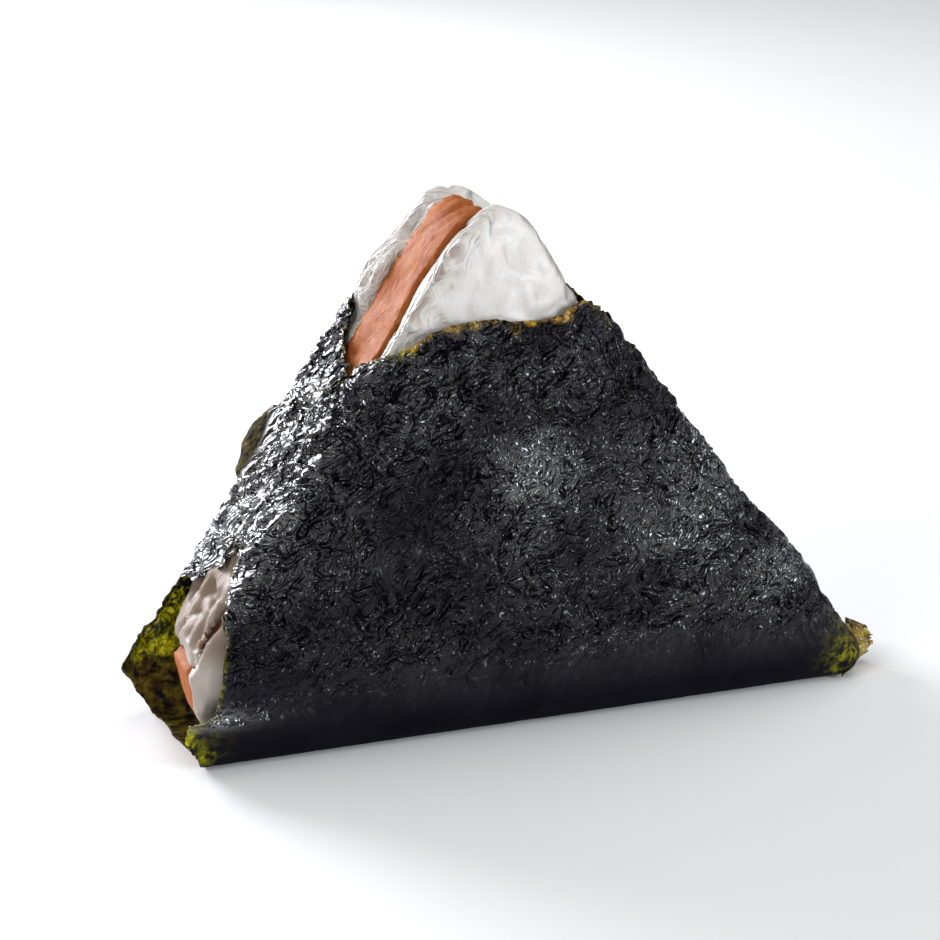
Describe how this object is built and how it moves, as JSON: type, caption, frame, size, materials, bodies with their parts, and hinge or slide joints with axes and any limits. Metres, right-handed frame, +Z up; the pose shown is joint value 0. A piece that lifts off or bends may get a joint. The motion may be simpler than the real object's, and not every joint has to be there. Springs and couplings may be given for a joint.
{
  "type": "triangular rice ball",
  "caption": "Triangular rice ball standing on its long side: two layers of rice with salmon between, wrapped in a folded sheet of nori that leaves the tip and one lower corner open.",
  "frame": {"origin": "middle of the base, on the surface that the rice ball stands on", "axes": "+Z up towards the tip, +X towards the right foot, with the front broad face towards -Y"},
  "size_m": [0.1042, 0.0287, 0.0699],
  "materials": {
    "rice": "moist, warm white, a little see-through",
    "salmon": "cooked pressed flakes, orange with paler patches",
    "nori": "crinkled roasted sheet, black with a blue sheen, green to amber where thin"
  },
  "bodies": {
    "root": {"rice_front": "rice", "salmon": "salmon", "rice_back": "rice", "nori": "nori"}
  },
  "joints": []
}
